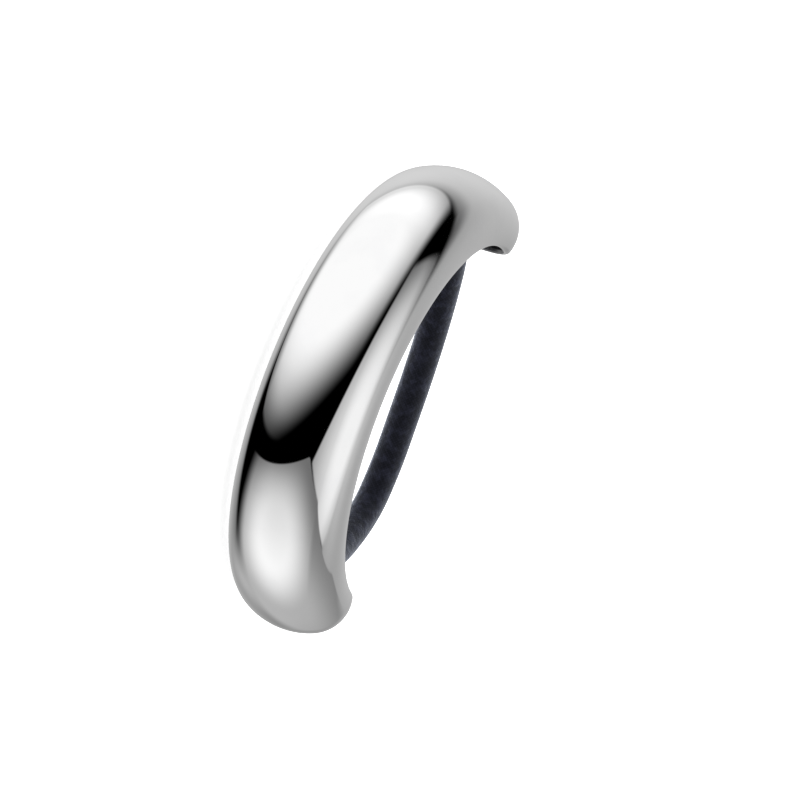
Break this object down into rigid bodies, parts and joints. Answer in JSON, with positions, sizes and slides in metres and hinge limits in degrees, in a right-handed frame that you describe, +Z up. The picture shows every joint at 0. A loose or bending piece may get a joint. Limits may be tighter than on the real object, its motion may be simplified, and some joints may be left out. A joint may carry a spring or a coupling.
{
  "type": "ponytail cuff",
  "caption": "Domed, C-shaped mirror-polished metal cuff that wraps a ponytail, closed at the back by a dark round elastic.",
  "frame": {"origin": "centre of the bounding box of the metal cuff, on the surface that it lies on", "axes": "+Z up, along the axis of the ring, which lies on its side; -Y towards the middle of the cuff, +Y towards the elastic; +X towards the right end as seen from the front"},
  "size_m": [0.052, 0.0393, 0.0126],
  "materials": {
    "polished_metal": "mirror polish outside, satin inside the dome",
    "cup_metal": "satin",
    "elastic_cord": "fine braided cover with short fibres"
  },
  "bodies": {
    "root": {"cuff": "polished_metal", "elastic": "elastic_cord", "end_cup_left": "cup_metal", "end_cup_right": "cup_metal"}
  },
  "joints": []
}
